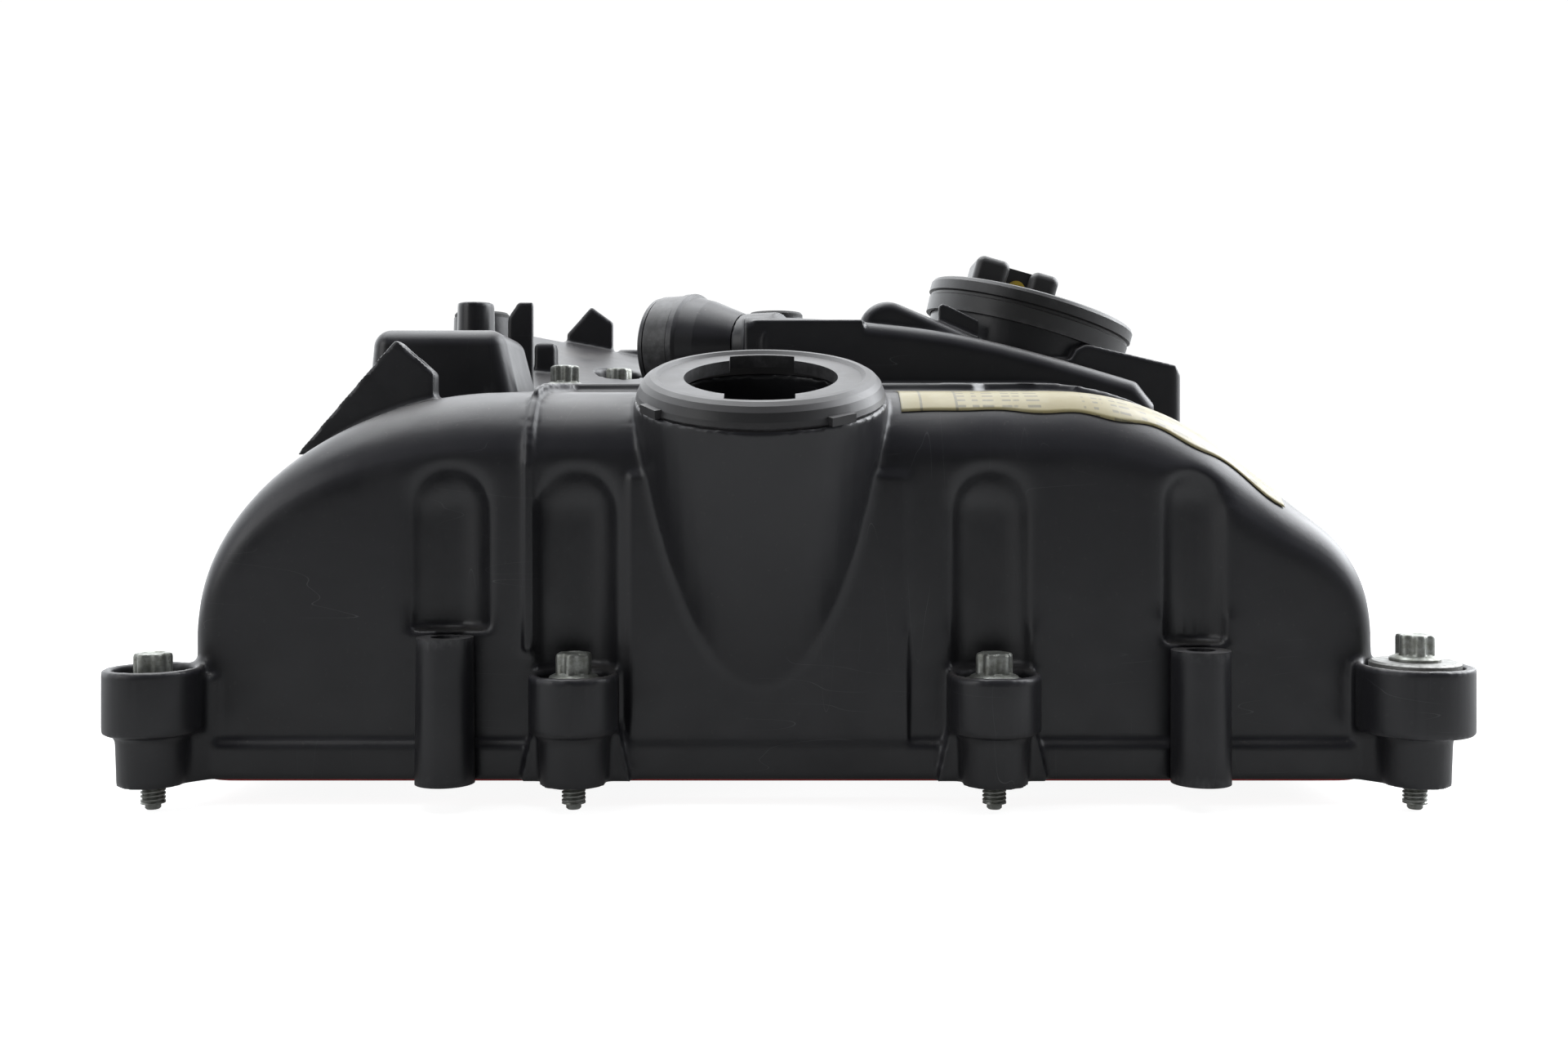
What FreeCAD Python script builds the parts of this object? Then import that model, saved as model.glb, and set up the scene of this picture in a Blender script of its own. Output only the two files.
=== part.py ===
import FreeCAD, Part
import math
import os

# Cam cover with built-in oil separator, for one three-cylinder bank of an engine.
# Millimetres. +X runs along the crankshaft, +Y from the filler side to the far side, +Z up.
# The origin is the centre of the sealing plane, under the middle of the cover.

V = FreeCAD.Vector
UP = V(0, 0, 1)

# --- driving dimensions: the moulded cover ---
HALF_LENGTH = 152.5        # outer face of the end walls
DEPTH = 220.0              # sealing flange, front face to back face
WALL = 3.0
WALL_STEP = 1.5            # the flange stands this far proud of the wall above it
FLANGE_HALF = 153.5
FLANGE_HEIGHT = 9.0
FLANGE_WIDTH = 9.0
FLANGE_CORNER = 9.0
CROWN_FRONT = 98.7         # height of the roof at the front wall
CROWN_RISE = 0.0623        # the roof climbs this much per mm towards the back
LEFT_SHOULDER = 77.5       # half width of the elliptical left shoulder
SHOULDER_START = 38.0      # height at which the left end wall begins to curve in
RIGHT_KNEE = 55.5          # height of the sharp corner under the rounded right shoulder
RIGHT_BREAK = 98.0         # distance from the middle at which the roof breaks downwards
KNEE_RADIUS = 32.0
BREAK_RADIUS = 70.0
CORNER_RADIUS = 7.0        # upright corners at the flange
CREST_RADIUS = 20.0        # the same edge, where it runs along the roof

# --- bolts, sleeves and bosses ---
BOLT_PITCH = 106.0
BOLT_OUT = 4.5             # bolt axes lie this far outside the flange face
BOLT_ROW = DEPTH / 2 + BOLT_OUT
THREAD_R = 3.0
POINT_R = 1.95
SHANK_R = 2.9
THREAD_END = -4.2
BOLT_TIP = -6.3
HEAD_FLANGE_R = 6.2
HEAD_FLANGE_T = 1.5
HEAD_R = 4.7
HEAD_H = 5.3
SLEEVE_BORE = 3.3
SLEEVE_R = 4.2
WASHER_T = 1.8
BOSS_R = 9.0
BOSS_TOP = 13.4
BOSS_BORE = 5.5
CUP_FLOOR = 16.0
CUP_WALL = 2.3
SEAT_Z = 26.3
RAISED_SEAT_Z = 31.0

# --- open tubes beside the bolts ---
TUBE_BORE = 3.6
TUBE_OUT = 3.5
TUBES = ((-85.7, 7.1, 7.5, 36.8), (105.4, 7.4, 7.5, 33.5))     # x, top radius, foot radius, height
TOOL_RADIUS = 12.2         # upright hollows in the wall that let a socket reach the bolts
HOLLOW_TOP = 81.0

# --- oil filler neck ---
NECK_X = -6.0
NECK_BEHIND = 6.0
NECK_Z = 104.0
NECK_LEAN = 17.5           # degrees towards the front
NECK_SEAT = -6.4           # along the neck's axis, from the rim downwards
NECK_TOP_R = 33.0
NECK_FOOT_R = 28.3
NECK_FOOT = -100.0
NECK_WALL = 3.5
NECK_BORE = 26.0
NECK_BORE_END = -23.0
RING_R = 32.5
RING_OPENING = 20.0
RING_FACE = -0.8           # flat annulus inside the rolled rim, where a cap's seal rests

# --- injector wells ---
WELL_X = (-109.0, -3.0, 103.0)
WELL_BEHIND = 156.0
WELL_TOP = 134.0
WELL_FOOT = 60.0
WELL_SEAT = 123.0          # from here to the top the bore guides the injector's sleeve
WELL_BORE = 7.75
WELL_FOOT_R = 11.6
WELL_TOP_R = 10.0

# --- screws through the roof ---
ROOF_BOLTS = ((-69.0, 88.0, 105.3), (-60.6, 165.0, 109.9))     # x, distance behind the front, seat height
ROOF_BOLT_TIP = 60.5
COLUMN_R = 7.0
COLUMN_FOOT = 70.0

# --- separator and breather valve ---
DUCT_FRONT = 68.0
DUCT_BACK = 82.0
ROOT_BACK = 96.0           # the duct is deeper where the outlet pipe enters it
ROOT_TOP = 124.6
REAR_BOX_FRONT = 80.5
HOUSING_BACK = 147.0
SHELL_WALL = 2.5
LID_X = 82.5
LID_BEHIND = 114.0
LID_Z = 133.8
LID_ROLL = 16.0            # degrees, down to the right
LID_R = 34.1
LID_SKIRT = 11.0
LID_TOP_T = 3.0
GRIP_TOP = 10.2            # above the lid's top face
GRIP_WAIST = 6.0           # half width of the grip between its two lobes
NECK_OUTER_R = 31.5        # valve housing, inside the lid's skirt
NECK_INNER_R = 29.0
VALVE_LEDGE = -13.0        # heights below the lid's top face, along its axis
SEAT_LEDGE = -26.0
VALVE_BORE = 26.0
PIPE_MOUTH = (-38.1, 95.0, 117.4)
PIPE_TURN = 27.0           # degrees that the outlet points backwards
PIPE_R = 16.9
PIPE_BORE = 14.4
PIPE_FOOT_R = 10.2
PIPE_FOOT_BORE = 7.8
PIPE_END = -29.5           # along the pipe's axis, where the cone meets the duct's stub
TROUGH_R = 21.5            # trough in the roof that leaves room for a hose on the pipe
TROUGH_LIMIT = -15.6       # X at which the trough ends, beside the separator
TROUGH_RUN = (-25.0, 4.0)  # along the pipe's axis


def behind(distance):
    """Y of a point this far behind the front face of the flange."""
    return distance - DEPTH / 2


def box(x0, x1, y0, y1, z0, z1):
    return Part.makeBox(x1 - x0, y1 - y0, z1 - z0, V(x0, y0, z0))


def cylinder(radius, foot, axis, height):
    return Part.makeCylinder(radius, height, foot, axis)


def tube(outer, inner, foot, axis, height):
    return cylinder(outer, foot, axis, height).cut(cylinder(inner, foot, axis, height))


def prism(points, depth):
    """Solid with the given corner points, swept along the vector depth."""
    wire = Part.makePolygon(points + [points[0]])
    return Part.Face(wire).extrude(depth)


def plate_xz(outline, front, back):
    """Upright slab with an outline of (x, z) points, between two distances behind the front."""
    points = [V(x, behind(front), z) for x, z in outline]
    return prism(points, V(0, back - front, 0))


def turned(profile, origin, axis):
    """Solid of revolution from (radius, height along axis) points."""
    points = [V(r, 0, h) for r, h in profile]
    face = Part.Face(Part.makePolygon(points + [points[0]]))
    solid = face.revolve(V(0, 0, 0), UP, 360)
    solid.Placement = FreeCAD.Placement(origin, FreeCAD.Rotation(UP, axis))
    return solid


def rounded_rectangle(half_x, half_y, corner, z, height):
    solid = box(-half_x, half_x, -half_y, half_y, z, z + height)
    upright = [e for e in solid.Edges if abs(e.Vertexes[0].Z - e.Vertexes[-1].Z) > height / 2]
    return solid.makeFillet(corner, upright)


def rounded_run(points, radii):
    """Edges through the points, with each inner corner rounded by a tangent arc."""
    edges = []
    start = points[0]
    for before, corner, after, radius in zip(points, points[1:], points[2:], radii):
        back = (before - corner).normalize()
        on = (after - corner).normalize()
        half = back.getAngle(on) / 2
        cut = radius / math.tan(half)
        entry = corner + back * cut
        leave = corner + on * cut
        middle = corner + (back + on).normalize() * (radius / math.sin(half) - radius)
        edges.append(Part.LineSegment(start, entry).toShape())
        edges.append(Part.Arc(entry, middle, leave).toShape())
        start = leave
    edges.append(Part.LineSegment(start, points[-1]).toShape())
    return edges


def softened(shape, edge_radii):
    """Fillet with a start and an end radius for every listed edge."""
    doc = FreeCAD.newDocument("softened")
    base = doc.addObject("Part::Feature", "base")
    base.Shape = shape
    fillet = doc.addObject("Part::Fillet", "fillet")
    fillet.Base = base
    fillet.Edges = edge_radii
    doc.recompute()
    result = fillet.Shape.copy()
    FreeCAD.closeDocument(doc.Name)
    return result


# ---------------------------------------------------------------- moulded body

def crown(distance):
    """Height of the roof at this distance behind the front."""
    return CROWN_FRONT + CROWN_RISE * (distance - WALL_STEP)


def body_section(distance, inset):
    """Closed XZ outline of the cover: elliptical left shoulder, long sloping right shoulder."""
    y = behind(distance)
    side = HALF_LENGTH - inset
    top = crown(distance) - inset
    middle_x = LEFT_SHOULDER - HALF_LENGTH
    across = LEFT_SHOULDER - inset
    rise = top - SHOULDER_START
    centre = V(middle_x, y, SHOULDER_START)
    flat_end = V(middle_x + across, y, SHOULDER_START)
    peak = V(middle_x, y, top)
    ellipse = Part.Ellipse(flat_end, peak, centre) if across > rise else Part.Ellipse(peak, flat_end, centre)
    foot = V(-side, y, SHOULDER_START)
    shoulder = Part.ArcOfEllipse(ellipse, ellipse.parameter(foot), ellipse.parameter(peak))
    half_way = shoulder.value((shoulder.FirstParameter + shoulder.LastParameter) / 2)
    if half_way.x > middle_x or half_way.z < SHOULDER_START:
        shoulder = Part.ArcOfEllipse(ellipse, ellipse.parameter(peak), ellipse.parameter(foot))
    fall = (RIGHT_KNEE - crown(distance)) / (HALF_LENGTH - RIGHT_BREAK)
    shift = inset * math.hypot(1, fall)
    knee = V(side, y, RIGHT_KNEE - fall * inset - shift)
    break_x = HALF_LENGTH + (top - RIGHT_KNEE + shift) / fall
    right = rounded_run([peak, V(break_x, y, top), knee, V(side, y, 0)],
                        [BREAK_RADIUS - inset, KNEE_RADIUS - inset])
    left_wall = Part.LineSegment(V(-side, y, 0), foot).toShape()
    floor = Part.LineSegment(V(side, y, 0), V(-side, y, 0)).toShape()
    return Part.Wire(Part.__sortEdges__([left_wall, shoulder.toShape()] + right + [floor]))


def edge_radius(height, inset):
    """The rounded edge grows from the upright corners to the roof."""
    share = (height - SHOULDER_START) / (90.0 - SHOULDER_START)
    share = min(1.0, max(0.0, share))
    return CORNER_RADIUS + (CREST_RADIUS - CORNER_RADIUS) * share - 0.8 * inset


def cover_body(inset):
    """Solid inside the cover's outer skin, moved inwards by inset (or outwards if negative)."""
    front = WALL_STEP + inset
    back = DEPTH - WALL_STEP - inset
    loaf = Part.makeLoft([body_section(front, inset), body_section(back, inset)], True, True)
    rounding = []
    for number, edge in enumerate(loaf.Edges, 1):
        first = edge.valueAt(edge.FirstParameter)
        last = edge.valueAt(edge.LastParameter)
        on_floor = first.z < 1e-5 and last.z < 1e-5
        across_an_end = abs(first.y - last.y) < 1e-5
        if across_an_end and not on_floor:
            rounding.append((number, edge_radius(first.z, inset), edge_radius(last.z, inset)))
    return softened(loaf, rounding)


def flange():
    return rounded_rectangle(FLANGE_HALF, DEPTH / 2, FLANGE_CORNER, 0, FLANGE_HEIGHT)


def flange_opening():
    inner_x = FLANGE_HALF - FLANGE_WIDTH
    inner_y = DEPTH / 2 - FLANGE_WIDTH
    return rounded_rectangle(inner_x, inner_y, FLANGE_CORNER, -1, FLANGE_HEIGHT + 1)


def bolt_places():
    """Name, x, y, cup radius, cup height and seat height of the eight rim bolts."""
    cups_front = ((12.0, 29.4), (11.4, 28.5), (11.8, 28.5), (14.15, 30.0))
    places = []
    for row, y, cups in (("front", -BOLT_ROW, cups_front), ("rear", BOLT_ROW, ((11.8, 28.5),) * 4)):
        for number, (radius, top) in enumerate(cups):
            x = (number - 1.5) * BOLT_PITCH
            raised = row == "front" and number == 3
            places.append((f"bolt_{row}_{number + 1}", x, y, radius, top, RAISED_SEAT_Z if raised else SEAT_Z))
    return places


def boss_outside(x, y, radius, top):
    """Cup round a bolt head, the narrower boss under it and the webs that tie both to the wall."""
    inward = -1 if y > 0 else 1
    lower = Part.makeCone(BOSS_R - 0.5, BOSS_R, BOSS_TOP, V(x, y, 0))
    cup = cylinder(radius, V(x, y, BOSS_TOP - 0.5), UP, top - BOSS_TOP + 0.5)
    solid = lower.fuse(cup)
    if abs(x) > BOLT_PITCH:
        corner = V(math.copysign(HALF_LENGTH - CORNER_RADIUS, x), y + inward * (BOLT_OUT + 8.0), 0)
        along = (corner - V(x, y, 0)).normalize()
        across = V(-along.y, along.x, 0) * 5.5
        foot = V(x, y, 0)
        web = prism([foot + across, corner + across, corner - across, foot - across], V(0, 0, top - 3.0))
        return solid.fuse(web)
    gusset = [V(x - 14.0, y, 0), V(x + 14.0, y, 0), V(x + 11.0, y, BOSS_TOP), V(x - 11.0, y, BOSS_TOP)]
    gusset = prism(gusset, V(0, inward * (BOLT_OUT + 3.0), 0))
    gusset.translate(V(0, inward * 2.0, 0))
    neck = box(x - 9.0, x + 9.0, min(y, y + inward * 7.0), max(y, y + inward * 7.0), BOSS_TOP, top - 1.0)
    return solid.fuse([gusset, neck])


def boss_inside(x, y, radius, top):
    bore = cylinder(BOSS_BORE, V(x, y, -1), UP, CUP_FLOOR + 2)
    cup = cylinder(radius - CUP_WALL, V(x, y, CUP_FLOOR), UP, top - CUP_FLOOR + 0.5)
    return bore.fuse(cup)


def hollow(x, y, foot, radius):
    """Upright round hollow with a domed top, for a socket or a screw."""
    upright = cylinder(radius, V(x, y, foot), UP, HOLLOW_TOP - radius - foot)
    return upright.fuse(Part.makeSphere(radius, V(x, y, HOLLOW_TOP - radius)))


def wall_hollows(grow):
    """The hollows over the four middle bolts and over the two tubes."""
    parts = [hollow(x, y, 28.0 - grow, TOOL_RADIUS + grow)
             for x in (-BOLT_PITCH / 2, BOLT_PITCH / 2) for y in (-BOLT_ROW, BOLT_ROW)]
    for (x, _, _, height), narrower in zip(TUBES, (0.4, 2.2)):
        parts.append(hollow(x, -DEPTH / 2 - TUBE_OUT, height + 1.0 - grow, TOOL_RADIUS + grow - narrower))
    return parts


def neck_axis():
    lean = math.radians(NECK_LEAN)
    return V(0, -math.sin(lean), math.cos(lean))


def neck_point(height):
    return V(NECK_X, behind(NECK_BEHIND), NECK_Z) + neck_axis() * height


def neck_cone(inset, top):
    length = top - NECK_FOOT
    return Part.makeCone(NECK_FOOT_R - inset, NECK_TOP_R - inset, length, neck_point(NECK_FOOT), neck_axis())


def roof_bead(path, half_width, height, front_limit):
    """Raised bead on the skin, over a path of (x, distance behind the front) points."""
    skin = cover_body(-height)
    beads = []
    for (x0, d0), (x1, d1) in zip(path, path[1:]):
        start = V(x0, behind(d0), front_limit)
        end = V(x1, behind(d1), front_limit)
        along = (end - start).normalize()
        across = V(-along.y, along.x, 0) * half_width
        ribbon = prism([start + across, end + across, end - across, start - across], V(0, 0, 80))
        joint = cylinder(half_width, end, UP, 80)
        beads.append(ribbon.fuse(joint).common(skin))
    return beads


def left_wedge():
    """Thin triangular holder on the left front shoulder, with a slot in its short slope."""
    outline = [(-133.5, 83.0), (-106.2, 114.8), (-95.6, 105.6), (-95.6, 92.0)]
    solid = plate_xz(outline, 26.5, 33.5)
    slope = V(10.8, 0, -9.0).normalize()
    normal = V(9.0, 0, 10.8).normalize()
    middle = V(-101.6, behind(30.0), 109.5)
    start = middle - slope * 4.0 - normal * 3.0
    pocket = prism([start + V(0, -1.4, 0), start + V(0, 1.4, 0), start + V(0, 1.4, 0) + slope * 8.5,
                    start + V(0, -1.4, 0) + slope * 8.5], normal * 5.0)
    return solid.cut(pocket)


def rear_bank():
    """Raised strip along the back edge, falling to the right, with a tab and a small block on it."""
    sections = []
    for x, step, top in ((-109.0, 118.6, 134.3), (-20.0, 109.6, 117.0)):
        points = [V(x, behind(d), z) for d, z in
                  ((140.0, 98.0), (140.0, 107.2), (160.0, step), (206.0, top), (214.0, top), (215.5, top - 3.0),
                   (215.5, 98.0))]
        sections.append(Part.makePolygon(points + [points[0]]))
    bank = Part.makeLoft(sections, True, True)
    tab = plate_xz([(-86.0, 118.0), (-86.0, 133.4), (-76.4, 144.2), (-67.8, 138.0), (-67.8, 118.0)], 207.0, 210.5)
    block = plate_xz([(-65.5, 115.0), (-65.5, 127.3), (-56.5, 127.3), (-56.5, 115.0)], 207.0, 212.5)
    return [bank, tab, block]


def roof_fittings():
    """Posts, plate and clip that stand on the left half of the roof."""
    post = Part.makeCone(7.2, 6.1, 43.6, V(-103.9, behind(121.0), 92.0))
    plate = plate_xz([(-92.3, 95.0), (-92.3, 130.0), (-88.8, 135.3), (-83.8, 135.3), (-83.8, 95.0)], 115.5, 118.5)
    clip = box(-90.4, -82.6, behind(156.0), behind(164.0), 98.0, 125.8)
    ends = [e for e in clip.Edges if abs(e.Vertexes[0].Z - 125.8) < 0.1 and abs(e.Vertexes[-1].Z - 125.8) < 0.1]
    return [post, plate, clip.makeFillet(2.4, ends)]


def trough(grow):
    """Round-ended hollow in the roof, under and round the outlet pipe."""
    radius = TROUGH_R + grow
    start, end = TROUGH_RUN
    run = cylinder(radius, pipe_point(start), pipe_axis(), end - start)
    ends = [Part.makeSphere(radius, pipe_point(along)) for along in TROUGH_RUN]
    return run.fuse(ends).common(box(-200, TROUGH_LIMIT + grow, -200, 200, 60, 200))


def well_cone(x, grow=0.0):
    foot = V(x, behind(WELL_BEHIND), WELL_FOOT)
    return Part.makeCone(WELL_FOOT_R + grow, WELL_TOP_R + grow, WELL_TOP - WELL_FOOT, foot)


def injector_tube(x):
    """Tube through the whole cover that an injector stands in; its bore is closer near the top."""
    y = behind(WELL_BEHIND)
    wide = cylinder(WELL_BORE + 0.55, V(x, y, WELL_FOOT - 1), UP, WELL_SEAT - WELL_FOOT + 1)
    return well_cone(x).cut([wide, cylinder(WELL_BORE, V(x, y, WELL_SEAT - 1), UP, WELL_TOP - WELL_SEAT + 2)])


def stud_cone(x, head, foot, height):
    return Part.makeCone(foot, head, height, V(x, -DEPTH / 2 - TUBE_OUT, 0))


def stud_tube(x, head, foot, height):
    """Open tube on the front wall, beside a bolt; the gasket groove runs through its foot."""
    bore = cylinder(TUBE_BORE, V(x, -DEPTH / 2 - TUBE_OUT, -1), UP, height + 2)
    return stud_cone(x, head, foot, height).cut([bore, gasket_groove()])


def gasket_groove():
    return gasket_ring(1.75, -1, 4.6)


def gasket_ring(half_width, z, height):
    middle_x = FLANGE_HALF - FLANGE_WIDTH / 2
    middle_y = DEPTH / 2 - FLANGE_WIDTH / 2
    outer = rounded_rectangle(middle_x + half_width, middle_y + half_width, FLANGE_CORNER, z, height)
    inner = rounded_rectangle(middle_x - half_width, middle_y - half_width, FLANGE_CORNER - 3, z, height)
    return outer.cut(inner)


def cover_shell(skin):
    """The moulding: loaf, flange, cups, tubes, neck, wells and the small holders on the roof."""
    outside = [flange(), neck_cone(0, NECK_SEAT)]
    outside += [boss_outside(x, y, radius, top) for _, x, y, radius, top, _ in bolt_places()]
    outside.append(box(-39.5, 31.5, behind(0.3), behind(3.0), 5.0, 78.0))
    body = skin.fuse(outside)

    cavity = cover_body(WALL).common(box(-200, 200, -200, 200, FLANGE_HEIGHT, 200))
    for pad in wall_hollows(WALL) + [trough(WALL)]:
        cavity = cavity.cut(pad)
    cavity = cavity.cut(box(-39.5, 31.5, behind(0), behind(4.4), 0, 90))
    for x, _, _, height in TUBES:
        cavity = cavity.cut(cylinder(11.0, V(x, -DEPTH / 2 - TUBE_OUT, 0), UP, height + 4.0))
    for x in (-BOLT_PITCH / 2, BOLT_PITCH / 2):
        for y in (-BOLT_ROW, BOLT_ROW):
            cavity = cavity.cut(cylinder(15.0, V(x, y, 0), UP, 31.0))
    cavity = cavity.fuse([flange_opening(), neck_cone(NECK_WALL, NECK_BORE_END)])
    body = body.cut(cavity)

    spout = tube(NECK_BORE + NECK_WALL, NECK_BORE, neck_point(NECK_BORE_END - 1), neck_axis(),
                 NECK_SEAT - NECK_BORE_END + 1)
    columns = [cylinder(COLUMN_R, V(x, behind(d), COLUMN_FOOT), UP, seat - 1.0 - COLUMN_FOOT)
               for x, d, seat in ROOF_BOLTS]
    front_bead = roof_bead([(-65.4, -4.0), (-65.4, 12.0)], 1.0, 1.2, 33.0)
    top_bead = roof_bead([(-65.4, 11.0), (-59.4, 37.0), (53.0, 39.5), (56.0, 43.0), (111.0, 46.0)], 1.0, 2.6, 60.0)
    keep_off_neck = neck_cone(0.5, NECK_SEAT)
    beads = [bead.cut(keep_off_neck).cut(cover_body(WALL / 2)) for bead in front_bead + top_bead]
    inside_roof = cover_body(WALL / 2)
    fittings = [piece.cut(inside_roof) for piece in [left_wedge()] + rear_bank() + roof_fittings()]
    body = body.fuse([spout] + columns + beads + fittings)

    cuts = [boss_inside(x, y, radius, top) for _, x, y, radius, top, _ in bolt_places()]
    cuts += [well_cone(x) for x in WELL_X] + [stud_cone(*place) for place in TUBES]
    cuts += wall_hollows(0) + [trough(0)]
    cuts += [cylinder(SLEEVE_BORE + 0.2, V(x, behind(d), 40), UP, 100) for x, d, _ in ROOF_BOLTS]
    cuts += [cylinder(8.8, V(x, behind(d), seat - 1.0), UP, 30) for x, d, seat in ROOF_BOLTS]
    cuts.append(cylinder(NECK_BORE, neck_point(NECK_BORE_END - 2), neck_axis(), 40))
    cuts.append(cylinder(RING_R + 1.5, neck_point(NECK_SEAT), neck_axis(), 40))
    cuts.append(gasket_groove())
    return body.cut(cuts).removeSplitter()


# ---------------------------------------------------------------- filler neck and seals

def filler_neck_ring():
    """Bayonet ring on the neck: rolled rim, lip with two notches, two small lugs outside."""
    profile = [(NECK_BORE, NECK_SEAT), (RING_R - 0.5, NECK_SEAT), (RING_R, NECK_SEAT + 0.6), (32.1, -4.4),
               (31.2, -2.2), (30.0, -0.9), (28.6, -0.1), (27.2, 0.0), (26.2, RING_FACE), (RING_OPENING, RING_FACE),
               (RING_OPENING, -4.2), (NECK_BORE - 1.0, -4.2)]
    ring = turned(profile, neck_point(0), neck_axis())
    notch = box(-8.8, 8.8, -25.0, 25.0, -12.0, 2.0)
    notch.Placement = FreeCAD.Placement(neck_point(0), FreeCAD.Rotation(UP, neck_axis()))
    notch = notch.common(cylinder(24.6, neck_point(-12), neck_axis(), 14))
    lugs = []
    for angle in (-146.0, -52.0):
        spoke = FreeCAD.Rotation(UP, neck_axis()).multiply(FreeCAD.Rotation(UP, angle))
        lug = box(RING_R - 2.0, RING_R + 1.2, -3.8, 3.8, -6.3, -4.1)
        lug.Placement = FreeCAD.Placement(neck_point(0), spoke)
        lugs.append(lug)
    return ring.cut(notch).fuse(lugs)


def cover_gasket():
    return gasket_ring(1.7, -0.8, 4.3)


def injector_seal(x):
    foot = V(x, behind(WELL_BEHIND), WELL_TOP)
    profile = [(8.1, 0.0), (WELL_TOP_R - 0.3, 0.0), (WELL_TOP_R - 0.3, 1.2), (9.0, 2.0), (8.1, 2.0)]
    return turned(profile, foot, UP)


def label():
    """Thin strip that follows the right front shoulder."""
    patch = box(30.0, 131.0, behind(8.0), behind(30.0), 50.0, 120.0)
    return cover_body(-0.3).cut(cover_body(0)).common(patch)


# ---------------------------------------------------------------- bolts

def bolt(x, y, seat, tip):
    """Flanged screw with a six-lobe head and a dog point."""
    shank_end = tip + (THREAD_END - BOLT_TIP)
    thread_top = tip - BOLT_TIP + 0.05
    body = turned([(0, tip), (POINT_R, tip), (POINT_R, shank_end - 0.7), (THREAD_R, shank_end),
                   (THREAD_R, thread_top), (SHANK_R, thread_top), (SHANK_R, seat), (HEAD_FLANGE_R, seat), (HEAD_FLANGE_R, seat + 0.7),
                   (HEAD_R + 0.2, seat + HEAD_FLANGE_T), (0, seat + HEAD_FLANGE_T)], V(x, y, 0), UP)
    foot = seat + HEAD_FLANGE_T - 0.2
    head = turned([(0, foot), (HEAD_R, foot), (HEAD_R, seat + HEAD_FLANGE_T + HEAD_H - 0.8),
                   (HEAD_R - 0.8, seat + HEAD_FLANGE_T + HEAD_H), (0, seat + HEAD_FLANGE_T + HEAD_H)],
                  V(x, y, 0), UP)
    for lobe in range(6):
        angle = math.radians(60 * lobe)
        valley = V(x + 5.15 * math.cos(angle), y + 5.15 * math.sin(angle), seat + HEAD_FLANGE_T)
        head = head.cut(cylinder(1.25, valley, UP, HEAD_H + 1))
    return body.fuse(head)


def sleeve(x, y, seat, foot, washer_r):
    profile = [(SLEEVE_BORE, foot), (SLEEVE_R, foot), (SLEEVE_R, seat - WASHER_T), (washer_r, seat - WASHER_T),
               (washer_r, seat - 0.5), (washer_r - 0.8, seat), (SLEEVE_BORE, seat)]
    return turned(profile, V(x, y, 0), UP)


def grommet(x, y, cup_radius, seat):
    flange_r = cup_radius - CUP_WALL - 0.6
    top = min(seat - WASHER_T, 24.5)
    profile = [(SLEEVE_R, 1.0), (BOSS_BORE, 1.0), (BOSS_BORE, CUP_FLOOR), (flange_r, CUP_FLOOR),
               (flange_r, CUP_FLOOR + 2.5), (flange_r - 1.6, top - 2.0), (flange_r - 2.0, top), (SLEEVE_R, top)]
    return turned(profile, V(x, y, 0), UP)


# ---------------------------------------------------------------- chamber cap on the left

def chamber_cap(skin):
    def block(inset):
        def ring(x0, x1, d0, d1, z):
            return Part.makePolygon([V(x, behind(d), z) for x, d in
                                     ((x0, d0), (x1, d0), (x1, d1), (x0, d1), (x0, d0))])
        low = ring(-128.5 + inset, -75.5 - inset, 69.0 + inset, 113.5 - inset, 80.0)
        high = ring(-125.2 + inset, -86.0 - inset, 71.0 + inset, 111.5 - inset, 122.0 - inset)
        solid = Part.makeLoft([low, high], True, True)
        edges = [e for e in solid.Edges if max(e.Vertexes[0].Z, e.Vertexes[-1].Z) > 81.0]
        return solid.makeFillet(5.5 - inset, edges)
    return block(0).cut(block(SHELL_WALL)).cut(skin)


# ---------------------------------------------------------------- separator

def lid_axis():
    roll = math.radians(LID_ROLL)
    return V(math.sin(roll), 0, math.cos(roll))


def lid_point(height):
    return V(LID_X, behind(LID_BEHIND), LID_Z) + lid_axis() * height


def duct(inset):
    """Long front duct: its top falls in a soft curve towards the right."""
    y = behind(DUCT_FRONT + inset)
    top = Part.BSplineCurve()
    top.interpolate([V(-12.0, y, 125.8), V(22.0, y, 124.3), V(58.0, y, 119.4), V(84.0, y, 112.8),
                     V(107.0, y, 106.0)])
    foot = 70.0
    edges = [top.toShape(), Part.LineSegment(V(107.0, y, 106.0), V(112.5, y, 99.0)).toShape(),
             Part.LineSegment(V(112.5, y, 99.0), V(112.5, y, foot)).toShape(),
             Part.LineSegment(V(112.5, y, foot), V(-12.0, y, foot)).toShape(),
             Part.LineSegment(V(-12.0, y, foot), V(-12.0, y, 125.8)).toShape()]
    solid = Part.Face(Part.Wire(edges)).extrude(V(0, DUCT_BACK - DUCT_FRONT - 2 * inset, 0))
    rims = [e for e in solid.Edges if abs(e.Vertexes[0].Y - e.Vertexes[-1].Y) < 0.01
            and max(e.Vertexes[0].Z, e.Vertexes[-1].Z) > 98.0 and e.BoundBox.XMin > -11.9]
    tops = [e for e in solid.Edges if e.BoundBox.ZMin > 104.0 and e.BoundBox.XLength > 50]
    solid = solid.makeFillet(4.5 - inset / 2, tops + [e for e in rims if e.BoundBox.XLength < 20])
    if inset:
        solid = solid.common(box(-200, 112.5 - inset, -200, 200, 0, 300))
        solid.translate(V(0, 0, -inset))
    return solid


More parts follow.
